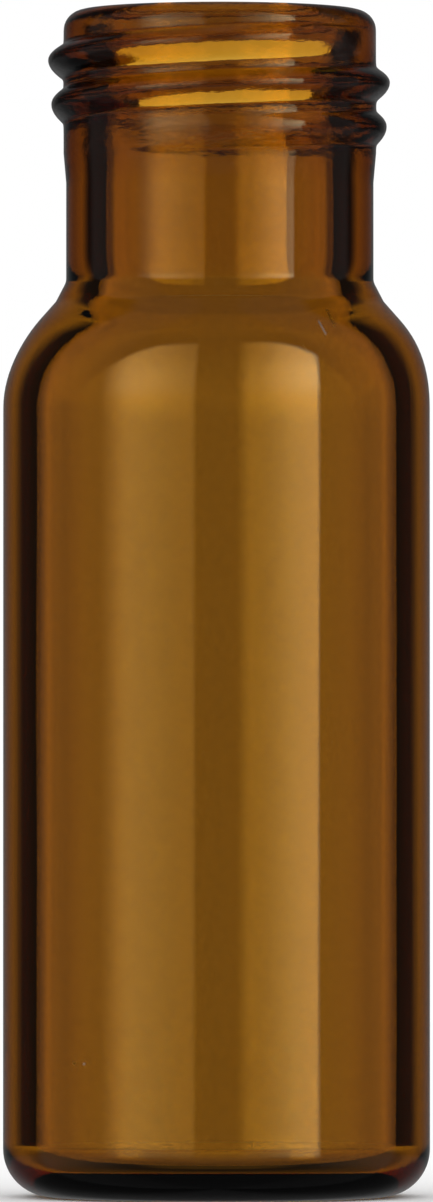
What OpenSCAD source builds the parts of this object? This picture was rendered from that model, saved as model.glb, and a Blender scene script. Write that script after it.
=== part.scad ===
// Amber glass sample vial with a screw neck, formed in one piece from a length of drawn tube.
// It stands on z = 0 with its axis along Z. All sizes are in millimetres.

/* [Body] */
// Height from the surface it stands on to the top of the lip
vial_h = 32.25; // [26:0.05:60]
// Outside diameter of the body
body_d = 11.6; // [9.6:0.1:20]
// Thickness of the body wall
body_wall = 0.9; // [0.7:0.05:1.2]

/* [Base] */
// Height of the floor inside, above the surface that the vial stands on
floor_z = 0.9; // [0.7:0.05:2]
// Radius of the outer corner between the side and the base
heel_r = 1.3; // [0.6:0.1:1.8]
// Radius of the inner corner between the wall and the floor
floor_corner_r = 0.55; // [0.4:0.05:1.5]
// Diameter of the shallow hollow under the base
punt_d = 6; // [3:0.2:6.8]
// Depth of the hollow under the base
punt_depth = 0.2; // [0.1:0.05:0.4]

/* [Shoulder] */
// Outside radius of the round shoulder where it leaves the body
shoulder_r = 3.6; // [2.5:0.1:4.5]
// Flattest slope of the cone above that round, in degrees from upright
shoulder_slope = 41.5; // [35:0.5:60]
// Flattest slope of the cone on the inside of the shoulder, in degrees from upright
inner_shoulder_slope = 43.5; // [35:0.5:60]
// Inside radius of the hollow curve where the shoulder runs into the bore
inner_throat_r = 3; // [1:0.1:3.5]

/* [Collar] */
// Width of the sloping collar round the foot of the neck
collar_w = 0.28; // [0.1:0.02:0.5]
// Slope of the collar, in degrees from upright
collar_slope = 27.5; // [15:0.5:35]
// Radius of the hollow round where the collar runs into the neck
throat_r = 0.4; // [0.2:0.05:0.8]

/* [Neck] */
// Height from the top of the collar to the top of the lip
neck_h = 7.3; // [6:0.05:10]
// Outside diameter of the plain neck below the thread
neck_d = 8.36; // [8:0.02:9.4]
// Outside diameter between the turns of the thread and above them
finish_d = 8.5; // [8.2:0.02:9.6]
// Height of the plain neck, above which it widens to the finish
neck_plain_h = 2.6; // [0.5:0.1:2.8]
// Height over which the neck widens to the finish
neck_flare_h = 0.8; // [0.3:0.1:1]
// Diameter of the bore through the neck
bore_d = 6.2; // [5:0.1:7.3]
// Radius of the rounds inside and outside the lip, as far as the neck wall has room for them
lip_r = 0.55; // [0.2:0.05:0.55]

/* [Thread] */
// Rise of the thread in one turn
thread_pitch = 1.2; // [1.1:0.05:1.5]
// Number of turns from the lower end to the upper end
thread_turns = 2.4; // [1:0.1:2.5]
// Height of the crest above the finish
thread_h = 0.46; // [0.2:0.02:0.6]
// Width of the ridge where it leaves the neck
thread_w = 1; // [0.6:0.05:1]
// Distance from the top of the lip down to the middle of the ridge at its lower end
thread_drop = 3.65; // [3.2:0.05:3.8]
// Side of the neck where the lower end of the thread lies, in degrees from +X
thread_start_angle = 215; // [0:5:360]
// Turns over which the lower end and the upper end of the ridge run out
thread_runout = [0.4, 0.3]; // [0.1:0.05:0.5]
// Height of the crest at the lower end of the full ridge, as a share of thread_h
thread_low_share = 0.55; // [0.5:0.05:1]

/* [Hidden] */
$fn = 96;
body_r = body_d / 2;
body_bore_r = body_r - body_wall;
neck_r = neck_d / 2;
finish_r = finish_d / 2;
bore_r = bore_d / 2;
// Narrowest flat ring that the two rounds leave on top of the lip.
lip_flat = 0.05;
lip_round = min(lip_r, (finish_r - bore_r - lip_flat) / 2);
neck_z = vial_h - neck_h;
collar_r = neck_r + collar_w;
collar_z = neck_z - throat_r * sin(collar_slope)
    - (collar_w - throat_r * (1 - cos(collar_slope))) / tan(collar_slope);
outer_slope = meeting_slope(body_r - collar_r, shoulder_r, shoulder_slope);
shoulder_z = collar_z - curve_rise(body_r - collar_r, shoulder_r, outer_slope);
// The two rounds of the shoulder share a centre, so the wall keeps its thickness where it leans in.
inner_shoulder_r = shoulder_r - body_wall;
inner_curves = inner_shoulder_r + inner_throat_r;
inner_slope = meeting_slope(body_bore_r - bore_r, inner_curves, inner_shoulder_slope);
inner_rise = curve_rise(body_bore_r - bore_r, inner_curves, inner_slope);
// Sphere that leaves the hollow under the base.
punt_r = (punt_d * punt_d / 4 + punt_depth * punt_depth) / (2 * punt_depth);
// The ridge is rooted in the middle of the neck wall, and its flanks start just below the surface.
thread_root_r = (finish_r + bore_r) / 2;
thread_bed = 0.12;
thread_step = 10;
thread_rings = round(thread_turns * 360 / thread_step);
flank_points = 8;
// Length by which a cutting shape runs past the part.
past = 1;

// Slope that curves of a total radius reach on a step in, less than the flattest on a small step.
function meeting_slope(step, curves, flattest) = min(flattest, acos(1 - step / curves));

// Height of the curves and the straight cone between them over that step.
function curve_rise(step, curves, slope) =
    curves * sin(slope) + (step - curves * (1 - cos(slope))) / tan(slope);

// Point on a circle, at an angle up from the point nearest the +X side.
function on_circle(centre, r, angle) = centre + r * [cos(angle), sin(angle)];

// Section of the round that starts upright at radius r and leans in to a slope.
module round_section(r, curve, slope) {
    centre = [r - curve, 0];
    end = on_circle(centre, curve, slope);
    intersection() {
        translate(centre) circle(curve);
        polygon([centre, [r, 0], [r, end.y], end]);
    }
}

// Section of the glass, as if solid, from the top of the body to the top of the collar.
module shoulder_section() {
    round_end = on_circle([body_r - shoulder_r, shoulder_z], shoulder_r, outer_slope);
    throat = [neck_r + throat_r, neck_z];
    throat_end = on_circle(throat, -throat_r, collar_slope);
    translate([0, shoulder_z]) round_section(body_r, shoulder_r, outer_slope);
    difference() {
        polygon([[0, shoulder_z], [body_r, shoulder_z], round_end, [collar_r, collar_z],
            throat_end, [neck_r, neck_z], [0, neck_z]]);
        translate(throat) circle(throat_r);
    }
}

// Section of the space inside, from the top of the body to the foot of the bore.
module inner_shoulder_section() {
    foot = [bore_r + inner_throat_r, shoulder_z + inner_rise];
    round_end = on_circle([body_bore_r - inner_shoulder_r, shoulder_z], inner_shoulder_r, inner_slope);
    throat_end = on_circle(foot, -inner_throat_r, inner_slope);
    translate([0, shoulder_z]) round_section(body_bore_r, inner_shoulder_r, inner_slope);
    difference() {
        polygon([[0, shoulder_z], [body_bore_r, shoulder_z], round_end, throat_end,
            [bore_r, foot.y], [0, foot.y]]);
        translate(foot) circle(inner_throat_r);
    }
}

// Section of a plug with one rounded corner at its outer lower edge.
module rounded_plug(r, h, corner) {
    translate([0, corner]) square([r, h - corner]);
    square([r - corner, corner]);
    translate([r - corner, corner]) circle(corner);
}

// Section of the vial as if it were solid glass.
module outside_section() {
    flare_z = neck_z + neck_plain_h;
    finish_z = flare_z + neck_flare_h;
    rounded_plug(body_r, shoulder_z, heel_r);
    shoulder_section();
    translate([0, neck_z]) square([neck_r, neck_plain_h]);
    polygon([[0, flare_z], [neck_r, flare_z], [finish_r, finish_z], [0, finish_z]]);
    translate([0, finish_z]) square([finish_r, vial_h - lip_round - finish_z]);
    translate([0, vial_h - lip_round]) square([finish_r - lip_round, lip_round]);
    translate([finish_r - lip_round, vial_h - lip_round]) circle(lip_round);
}

// Section of the space inside: the body, the shoulder, the bore and the rounded mouth.
module inside_section() {
    inner_neck_z = shoulder_z + inner_rise;
    translate([0, floor_z]) rounded_plug(body_bore_r, shoulder_z - floor_z, floor_corner_r);
    inner_shoulder_section();
    translate([0, inner_neck_z]) square([bore_r, vial_h + past - inner_neck_z]);
    difference() {
        translate([0, vial_h - lip_round]) square([bore_r + lip_round, lip_round + past]);
        translate([bore_r + lip_round, vial_h - lip_round]) circle(lip_round);
    }
}

// Share of the full ridge height at a number of turns from the lower end.
function ridge_share(turn) =
    let (growth = thread_low_share + (1 - thread_low_share) * turn / thread_turns)
    growth * ease(turn / thread_runout[0]) * ease((thread_turns - turn) / thread_runout[1]);

// Smooth step from 0 to 1.
function ease(x) = let (c = min(max(x, 0), 1)) c * c * (3 - 2 * c);

// Outline of the ridge in the plane through the axis, from its lower root to its upper root.
function ridge_outline(share) =
    let (height = thread_bed + share * thread_h)
    concat(
        [[thread_root_r, -thread_w / 2]],
        [for (i = [0:flank_points]) let (u = 2 * i / flank_points - 1)
            [finish_r - thread_bed + height * (1 - u * u), u * thread_w / 2 * foot_share]],
        [[thread_root_r, thread_w / 2]]);

// The flanks widen a little below the surface, so that the full ridge is thread_w wide at it.
foot_share = sqrt(1 + thread_bed / thread_h);

// The ridge of the thread, a right-hand helix that rises out of the neck and sinks back into it.
module thread() {
    ring = flank_points + 3;
    points = [for (i = [0:thread_rings]) let (
            turn = i / thread_rings * thread_turns,
            angle = thread_start_angle + turn * 360,
            z = vial_h - thread_drop + turn * thread_pitch)
        for (p = ridge_outline(ridge_share(turn))) [p.x * cos(angle), p.x * sin(angle), z + p.y]];
    sides = [for (i = [0:thread_rings - 1]) for (j = [0:ring - 1]) let (
            a = i * ring + j,
            b = i * ring + (j + 1) % ring)
        for (f = [[a, b, b + ring], [a, b + ring, a + ring]]) f];
    last = thread_rings * ring;
    ends = [[for (j = [ring - 1:-1:0]) j], [for (j = [0:ring - 1]) last + j]];
    polyhedron(points, concat(sides, ends));
}

module vial() {
    color("saddlebrown") difference() {
        union() {
            rotate_extrude() difference() {
                outside_section();
                translate([0, punt_depth - punt_r]) circle(punt_r, $fn = 4 * $fn);
            }
            thread();
        }
        rotate_extrude() inside_section();
    }
}

vial();
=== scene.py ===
import math

import bpy
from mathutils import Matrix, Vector


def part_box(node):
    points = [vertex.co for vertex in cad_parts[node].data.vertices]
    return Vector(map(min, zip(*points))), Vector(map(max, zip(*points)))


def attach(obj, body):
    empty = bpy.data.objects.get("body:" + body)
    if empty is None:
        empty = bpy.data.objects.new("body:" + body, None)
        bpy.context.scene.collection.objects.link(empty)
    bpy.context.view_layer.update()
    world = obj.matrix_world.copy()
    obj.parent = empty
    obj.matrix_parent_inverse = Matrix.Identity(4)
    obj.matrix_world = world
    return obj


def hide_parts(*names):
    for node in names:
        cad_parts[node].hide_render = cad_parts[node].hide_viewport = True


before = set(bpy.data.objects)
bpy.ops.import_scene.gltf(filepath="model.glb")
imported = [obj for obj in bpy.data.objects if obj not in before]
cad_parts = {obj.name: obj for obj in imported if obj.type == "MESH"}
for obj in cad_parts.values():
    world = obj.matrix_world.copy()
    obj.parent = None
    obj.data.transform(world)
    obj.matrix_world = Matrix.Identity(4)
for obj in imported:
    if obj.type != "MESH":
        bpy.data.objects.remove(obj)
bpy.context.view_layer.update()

# --- The vial -------------------------------------------------------------------------------
# One piece of amber glass tube: its base is melted shut, its shoulder and neck are rolled in
# while hot, and the thread is pressed between shaped rollers. It stands on its flat base ring.

# Sizes are in millimetres, and a lean is an angle from upright.
MM = 0.001
vial_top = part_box("vial")[1]
vial_h = vial_top.z / MM
body_r = vial_top.x / MM
body_wall = 0.9
floor_z = 0.9
floor_corner_r = 0.55
floor_middle_r = 0.4
heel_r = 1.3
punt_r = 3.0
punt_depth = 0.2
shoulder_r = 3.6
shoulder_lean = math.radians(41.5)
inner_lean = math.radians(43.5)
inner_throat_r = 3.0
collar_r = 4.46
collar_lean = math.radians(27.5)
throat_r = 0.4
neck_r = 4.18
neck_z = vial_h - 7.3
neck_off_axis = 0.09
flare_z = neck_z + 2.6
finish_z = flare_z + 0.8
finish_r = 4.25
bore_r = 3.1
lip_r = 0.55

thread_pitch = 1.2
thread_turns = 2.4
thread_h = 0.46
thread_w = 1.0
thread_low_z = vial_h - 3.65
thread_start = math.radians(215)
thread_runout = (0.4, 0.3)
thread_low_share = 0.55
upper_flank_steepness = 1.25
foot_softness = 0.2


def arc(centre_r, centre_z, radius, start, end, steps):
    """Points along an arc of the section, from one angle to another, in degrees up from +r."""
    angles = [math.radians(start + (end - start) * i / steps) for i in range(steps + 1)]
    return [(centre_r + radius * math.cos(a), centre_z + radius * math.sin(a)) for a in angles]


def run(start, end, steps):
    """Points along a straight stretch of the section, without its first point."""
    across, along = end[0] - start[0], end[1] - start[1]
    return [(start[0] + across * i / steps, start[1] + along * i / steps)
            for i in range(1, steps + 1)]


def ease(x):
    """Smooth step from 0 to 1."""
    x = min(max(x, 0.0), 1.0)
    return x * x * (3 - 2 * x)


def ridge_height(angle, z):
    """How far the thread stands proud of the finish at a place on the neck."""
    height = 0.0
    first = ((angle - thread_start) / math.tau) % 1.0
    for lap in range(math.ceil(thread_turns)):
        turn = first + lap
        if turn > thread_turns:
            continue
        growth = thread_low_share + (1 - thread_low_share) * turn / thread_turns
        to_end = thread_turns - turn
        share = growth * ease(turn / thread_runout[0]) * ease(to_end / thread_runout[1])
        offset = (z - thread_low_z - turn * thread_pitch) / (thread_w / 2)
        bump = 1 - (offset * (upper_flank_steepness if offset > 0 else 1)) ** 2
        height += thread_h * share * (bump + math.hypot(bump, foot_softness)) / 2
    return height


# The section runs from the middle of the base out and up to the lip, then down inside.
# The outer and the inner round of the shoulder share a centre.
body_bore_r = body_r - body_wall
collar_z = neck_z - throat_r * math.sin(collar_lean) \
    - (collar_r - neck_r - throat_r * (1 - math.cos(collar_lean))) / math.tan(collar_lean)
shoulder_z = collar_z - shoulder_r * math.sin(shoulder_lean) \
    - (body_r - collar_r - shoulder_r * (1 - math.cos(shoulder_lean))) / math.tan(shoulder_lean)
inner_shoulder_r = shoulder_r - body_wall
inner_curves = inner_shoulder_r + inner_throat_r
inner_neck_z = shoulder_z + inner_curves * math.sin(inner_lean) \
    + (body_bore_r - bore_r - inner_curves * (1 - math.cos(inner_lean))) / math.tan(inner_lean)

shoulder = arc(body_r - shoulder_r, shoulder_z, shoulder_r, 0, math.degrees(shoulder_lean), 14)
throat = arc(neck_r + throat_r, neck_z, -throat_r, math.degrees(collar_lean), 0, 8)
inner_throat = arc(bore_r + inner_throat_r, inner_neck_z, -inner_throat_r,
                   0, math.degrees(inner_lean), 12)
inner_shoulder = arc(body_bore_r - inner_shoulder_r, shoulder_z, inner_shoulder_r,
                     math.degrees(inner_lean), 0, 12)
floor_corner = arc(body_bore_r - floor_corner_r, floor_z + floor_corner_r, floor_corner_r,
                   0, -90, 12)

section = [(punt_r * i / 8, punt_depth * (1 - (i / 8) ** 2)) for i in range(1, 9)]
section += run((punt_r, 0), (body_r - heel_r, 0), 4)
section += arc(body_r - heel_r, heel_r, heel_r, -90, 0, 16)[1:]
section += run((body_r, heel_r), (body_r, shoulder_z), 30) + shoulder[1:]
section += run(shoulder[-1], (collar_r, collar_z), 5)
section += run((collar_r, collar_z), throat[0], 5) + throat[1:]
section += run((neck_r, neck_z), (neck_r, flare_z), 14)
section += run((neck_r, flare_z), (finish_r, finish_z), 20)
section += run((finish_r, finish_z), (finish_r, vial_h - lip_r), 84)
section += arc(finish_r - lip_r, vial_h - lip_r, lip_r, 0, 90, 10)[1:]
section += arc(bore_r + lip_r, vial_h - lip_r, lip_r, 90, 180, 10)
section += run((bore_r, vial_h - lip_r), (bore_r, inner_neck_z), 24) + inner_throat[1:]
section += run(inner_throat[-1], inner_shoulder[0], 4) + inner_shoulder[1:]
section += run((body_bore_r, shoulder_z), (body_bore_r, floor_z + floor_corner_r), 30)
section += floor_corner[1:] + run(floor_corner[-1], (floor_middle_r, floor_z), 6)

# The section goes round in even steps, and the thread rises out of the neck on the outside.
# The neck sits a little off the axis, as it comes from the rollers.
turn_steps = 224
shift_end_z = collar_z - 0.7
verts = [(0, 0, punt_depth * MM)]
for r, z in section:
    on_outside = r > (neck_r + bore_r) / 2
    threaded = on_outside and thread_low_z - thread_pitch < z < vial_h - lip_r
    shift = neck_off_axis * ease((z - shoulder_z) / (shift_end_z - shoulder_z))
    for step in range(turn_steps):
        angle = math.tau * step / turn_steps
        radius = r + (ridge_height(angle, z) if threaded else 0)
        place = (shift + radius * math.cos(angle), radius * math.sin(angle), z)
        verts.append([size * MM for size in place])
verts.append((0, 0, floor_z * MM))

faces = [(0, 1 + (s + 1) % turn_steps, 1 + s) for s in range(turn_steps)]
for ring in range(len(section) - 1):
    low = 1 + ring * turn_steps
    high = low + turn_steps
    for s in range(turn_steps):
        t = (s + 1) % turn_steps
        faces.append((low + s, low + t, high + t, high + s))
last = 1 + (len(section) - 1) * turn_steps
faces += [(last + s, last + (s + 1) % turn_steps, len(verts) - 1) for s in range(turn_steps)]

vial_mesh = bpy.data.meshes.new("vial_glass")
vial_mesh.from_pydata(verts, [], faces)
vial_mesh.shade_smooth()
vial_mesh.validate()
vial = bpy.data.objects.new("vial_glass", vial_mesh)
bpy.context.scene.collection.objects.link(vial)


class Value:
    """A shader socket that takes part in sums: each operation on it adds one Math node."""

    def __init__(self, socket):
        self.socket = socket

    @staticmethod
    def node(tree, kind, settings, sockets):
        """Adds a node, sets it, then gives its sockets values or links; stands for its output."""
        made = tree.nodes.new(kind)
        for name, setting in settings.items():
            setattr(made, name, setting)
        for place, given in sockets.items():
            if isinstance(given, Value):
                tree.links.new(given.socket, made.inputs[place])
            else:
                made.inputs[place].default_value = given
        return Value(made.outputs[0] if made.outputs else None)

    def output(self, name):
        """Another output of the same node."""
        return Value(self.socket.node.outputs[name])

    def math_of(self, operation, *numbers):
        """A Math node on these numbers, in this order."""
        tree = self.socket.id_data
        settings = {"operation": operation}
        return Value.node(tree, "ShaderNodeMath", settings, dict(enumerate(numbers)))

    def math(self, operation, *others):
        """A Math node on this number and then the others."""
        return self.math_of(operation, self, *others)

    def __add__(self, other): return self.math_of("ADD", self, other)
    def __radd__(self, other): return self.math_of("ADD", other, self)
    def __sub__(self, other): return self.math_of("SUBTRACT", self, other)
    def __rsub__(self, other): return self.math_of("SUBTRACT", other, self)
    def __mul__(self, other): return self.math_of("MULTIPLY", self, other)
    def __rmul__(self, other): return self.math_of("MULTIPLY", other, self)
    def __truediv__(self, other): return self.math_of("DIVIDE", self, other)
    def __pow__(self, power): return self.math_of("POWER", self, power)
    def __neg__(self): return self.math_of("MULTIPLY", self, -1)
    def __abs__(self): return self.math("ABSOLUTE")

    def step(self, low, high):
        """Rises smoothly from 0 at low to 1 at high."""
        tree = self.socket.id_data
        return Value.node(tree, "ShaderNodeMapRange", {"interpolation_type": "SMOOTHSTEP"},
                          {"Value": self, "From Min": low, "From Max": high})


# Amber glass takes out blue most and red least, so it is darker where the wall is thicker.
glass = bpy.data.materials.new("drawn_amber_tube")
glass.use_nodes = True
glass_tree = glass.node_tree
shader = glass_tree.nodes["Principled BSDF"]
shader.inputs["Transmission Weight"].default_value = 1
shader.inputs["IOR"].default_value = 1.5
absorbed_per_metre = (630, 1150, 2950)
absorb_density = 3200
absorb = glass_tree.nodes.new("ShaderNodeVolumeAbsorption")
absorb.inputs["Color"].default_value = [1 - a / absorb_density for a in absorbed_per_metre] + [1]
absorb.inputs["Density"].default_value = absorb_density
glass_output = glass_tree.nodes["Material Output"]
glass_tree.links.new(absorb.outputs["Volume"], glass_output.inputs["Volume"])

here = Value.node(glass_tree, "ShaderNodeTexCoord", {}, {}).output("Object")
here_parts = Value.node(glass_tree, "ShaderNodeSeparateXYZ", {}, {0: here})
x, y, z = (here_parts.output(name) / MM for name in "XYZ")


def grain(across, along, detail):
    """Noise whose spots are that many millimetres across and along the tube."""
    stretch = (1 / across / MM, 1 / across / MM, 1 / along / MM)
    spots = Value.node(glass_tree, "ShaderNodeVectorMath", {"operation": "MULTIPLY"},
                       {0: here, 1: stretch})
    return Value.node(glass_tree, "ShaderNodeTexNoise", {},
                      {"Vector": spots, "Scale": 1, "Detail": detail})


# Long draw lines and fine cords in the tube, and the rollers' marks from the finish upwards.
draw_lines = grain(0.3, 9, 2)
cords = grain(0.16, 0.22, 2)
roll_marks = grain(0.35, 0.14, 3)
rolled = z.step(flare_z, finish_z + 0.3)

# A short scratch on the shoulder and a speck low on the body, both on the front.
scratch_x, scratch_z = 2.84, 23.45
scratch_slant = math.radians(28)
slant_x, slant_z = math.cos(scratch_slant), math.sin(scratch_slant)
from_line = abs(slant_x * (x - scratch_x) + slant_z * (z - scratch_z))
along_line = abs(slant_z * (x - scratch_x) - slant_x * (z - scratch_z))
scratch = (1 - from_line.step(0.015, 0.045)) * (1 - along_line.step(0.17, 0.27))
speck_x, speck_z = -3.55, 3.7
from_speck = ((x - speck_x) ** 2 + (z - speck_z) ** 2) ** 0.5
speck = 1 - from_speck.step(0.02, 0.06)
marks = scratch.math("MAXIMUM", speck) * (1 - y.step(-0.5, 0.5))

clearness = 1 - 0.05 * cords.step(0.35, 0.7)
tint = Value.node(glass_tree, "ShaderNodeCombineColor", {},
                  {0: clearness, 1: clearness, 2: clearness ** 2})
roughness = 0.01 + 0.02 * cords + rolled * 0.08 * roll_marks.step(0.35, 0.75) + 0.4 * marks
glint = 0.16 * marks
relief = 0.0012 * draw_lines + rolled * 0.01 * roll_marks
bumps = Value.node(glass_tree, "ShaderNodeBump", {},
                   {"Strength": 1, "Distance": MM, "Height": relief})
for name, value in {"Base Color": tint, "Roughness": roughness, "Metallic": glint,
                    "Normal": bumps}.items():
    glass_tree.links.new(value.socket, shader.inputs[name])
vial.data.materials.append(glass)

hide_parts("vial")
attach(vial, "root")

# --- The floor ------------------------------------------------------------------------------
# A round white sheet that the vial stands on. It is white to the camera and takes the vial's
# shadow; through the glass it shows a little darker, and only where it is looked down on.

sheet_r = 0.25
sheet_corners = 96
sheet_drop = 0.01 * MM
corner_angles = [math.tau * i / sheet_corners for i in range(sheet_corners)]
sheet_rim = [(sheet_r * math.cos(a), sheet_r * math.sin(a), 0) for a in corner_angles]
floor_mesh = bpy.data.meshes.new("floor")
floor_mesh.from_pydata(sheet_rim, [], [tuple(range(sheet_corners))])
floor = bpy.data.objects.new("floor", floor_mesh)
floor.location.z = -sheet_drop
floor.visible_glossy = False
bpy.context.scene.collection.objects.link(floor)

paper = bpy.data.materials.new("white_paper")
paper.use_nodes = True
paper_tree = paper.node_tree
paper_tree.nodes.clear()
paper_rays = Value.node(paper_tree, "ShaderNodeLightPath", {}, {})
to_camera = paper_rays.output("Is Camera Ray")
faces_met = paper_rays.output("Ray Depth")
through_one_wall = faces_met.math("COMPARE", 2, 0.5)
through_two_walls = faces_met.math("COMPARE", 4, 0.5)
facing = Value.node(paper_tree, "ShaderNodeLayerWeight", {}, {"Blend": 0.5}).output("Facing")
looked_down_on = (1 - facing).step(0.08, 0.2)
seen_in_glass = 0.6 * looked_down_on * (through_one_wall + through_two_walls)
seen = to_camera.math("MAXIMUM", seen_in_glass)
tone = 0.9 + 0.1 * to_camera
paper_white = Value.node(paper_tree, "ShaderNodeCombineColor", {}, {0: tone, 1: tone, 2: tone})
sheet = Value.node(paper_tree, "ShaderNodeBsdfDiffuse", {}, {"Color": paper_white})
nothing = Value.node(paper_tree, "ShaderNodeBsdfTransparent", {}, {})
surface = Value.node(paper_tree, "ShaderNodeMixShader", {}, {0: seen, 1: nothing, 2: sheet})
Value.node(paper_tree, "ShaderNodeOutputMaterial", {}, {"Surface": surface})
floor.data.materials.append(paper)

# --- The studio -----------------------------------------------------------------------------
# Soft light from all sides at a strength of 1. Glass shows what stands round it: a pale
# backdrop behind, a tall light panel at the front on either side, and dark room between.

world = bpy.data.worlds.new("studio")
bpy.context.scene.world = world
world.use_nodes = True
world_tree = world.node_tree
world_tree.nodes.clear()
world_rays = Value.node(world_tree, "ShaderNodeLightPath", {}, {})
refracted = world_rays.output("Is Transmission Ray")
mirrored = (1 - refracted) * world_rays.output("Is Glossy Ray")
other = 1 - refracted.math("MAXIMUM", mirrored)


def met(faces):
    """1 for light that has met so many faces of glass, which is one less than its depth here."""
    return world_rays.output("Ray Depth").math("COMPARE", faces + 1, 0.5)


one_wall = met(2)
inner_face = met(3)
both_walls = met(4)
deeper = 1 - (one_wall + inner_face + both_walls)

# Angles in degrees: round from the back, up from level, and where a mirror facing the
# front would have to turn and lean to show this direction.
direction = Value.node(world_tree, "ShaderNodeTexCoord", {}, {}).output("Generated")
direction_parts = Value.node(world_tree, "ShaderNodeSeparateXYZ", {}, {0: direction})
dx, dy, dz = (direction_parts.output(name) for name in "XYZ")
round_from_back = abs(dx.math("ARCTAN2", dy)) * math.degrees(1)
up = dz.math("ARCSINE") * math.degrees(1)
mirror_turn = dx.math("ARCTAN2", 1 - dy) * math.degrees(2)
mirror_lean = (dz / (2 - 2 * dy) ** 0.5).math("ARCSINE") * math.degrees(1)

# The same backdrop stands behind, at both sides and in front, as the vial is seen from all
# round. It fades into dark room between them, and the bench below is pale all round.
off_axis = round_from_back.math("PINGPONG", 45)
from_side = abs(round_from_back - 90)
lit_straight = 1 - off_axis.step(20, 37)
lit_ends = 1 - (90 - from_side).step(14, 35)
lit_sides = 1 - from_side.step(16, 26)
lit_turned = lit_ends.math("MAXIMUM", lit_sides)
bench = 1 - up.step(-9, -4)
lit = (lit_straight + (lit_turned - lit_straight) * inner_face).math("MAXIMUM", bench)
brightness = 0.49 + 0.1 * off_axis.step(2, 12) + 0.34 * off_axis.step(12, 21) \
    + 0.3 * inner_face * (1 - off_axis.step(10, 25))
backdrop = brightness * lit * (1 + 0.13 * up.step(1.6, 2.6)) + 0.03

# What the glass lets through: the backdrop, dim underneath and after many faces brighter low
# down than high up, and more light from above through the one wall of the lip.
under = up.step(-75, -60) * (1 - up.step(-24, -12))
front = round_from_back.step(85, 95)
through = backdrop * (1 + deeper - 2 * deeper * up.step(14, 30)) \
    * (0.15 + 0.85 * up.step(-62, -20)) * (1 - 0.75 * inner_face * under) \
    * (1 - front * inner_face) + 0.67 * up.step(4, 12) * one_wall

# The panels, between a foot and a rounded top. The inner face of the glass throws them
# wider and higher than its outer face, and shows a little of what stands below them.
turn = mirror_turn / (1 + 0.109 * inner_face)
lean = mirror_lean / (1 + 0.22 * inner_face)
to_right, to_left, to_either = turn, -turn, abs(turn)
corner = (to_either - 26).math("MAXIMUM", 0)
low_gleam = 0.5 * inner_face * (1 - abs(to_either - 49).step(6, 10)) * lean.step(-30, -19)
above_foot = lean.step(-7, -2.5).math("MAXIMUM", low_gleam)
framed = above_foot * (1 - (lean + 0.0068 * corner ** 2).step(25.5, 28))
right_panel = to_right.step(10, 20) * (1 - to_right.step(56, 58.5))
left_panel = to_left.step(10, 14) * (1 - to_left.step(47, 68))

outer_gain = 1.7 * (1.15 + 1.5 * lean.step(0, 9) - 0.7 * lean.step(13, 22))
outer_right = right_panel * (0.1 + 0.8 * to_right.step(18, 58))
outer_left = left_panel * (0.13 + 0.24 * to_left.step(12, 50))
panels = outer_gain * (outer_right + outer_left) * framed

inner_gain = 1 + 0.5 * lean.step(0.6, 1.6) - 0.5 * lean.step(13, 24)
inner_right = right_panel * (8.5 + 8.5 * to_right.step(18, 45))
inner_left = left_panel * (5.5 + 6 * to_left.step(12, 40))
rim = 2.2 * (1 - to_either.step(76, 84)) * to_either.step(30, 60)
through = through + (inner_gain * (inner_right + inner_left) + rim) * framed * inner_face

# The dark room round the panels, with a faint haze in it.
from_front = 180 - round_from_back
haze = 0.09 + 0.04 * from_front.step(50, 70) - 0.1 * from_front.step(107, 116) \
    + 0.1 * from_front.step(140, 172)
room = (haze + 0.05 * bench) * (0.45 + 0.55 * up.step(-34, -16))


def channel(panel_tone, inner_tone):
    """One colour of the light, where the panels and what the inner face shows have these tones."""
    seen_through = through * (1 + (inner_tone - 1) * inner_face)
    return refracted * seen_through + mirrored * (panel_tone * panels + room) + other


seen_colour = Value.node(world_tree, "ShaderNodeCombineColor", {}, {
    0: channel(1, 0.95), 1: channel(0.88, 1.15), 2: channel(0.55, 1.15)})
light = Value.node(world_tree, "ShaderNodeBackground", {}, {"Color": seen_colour, "Strength": 1})
Value.node(world_tree, "ShaderNodeOutputWorld", {}, {"Surface": light})

bpy.context.scene.view_settings.view_transform = "Standard"

# --- The camera -----------------------------------------------------------------------------
# A long lens a third of a metre away, level with the middle of the body and tipped up a
# little, so that the whole vial fills the frame.

eye_distance = 0.330
eye_height = 0.0111
aim_height = 0.016177
frame_height = 0.03268
camera_data = bpy.data.cameras.new("camera")
camera_data.lens = camera_data.sensor_width * eye_distance / frame_height
camera_data.clip_start = 0.01
camera = bpy.data.objects.new("camera", camera_data)
camera.location = (0, -eye_distance, eye_height)
aim = Vector((0, 0, aim_height)) - camera.location
camera.rotation_euler = aim.to_track_quat("-Z", "Y").to_euler()
bpy.context.scene.collection.objects.link(camera)
bpy.context.scene.camera = camera
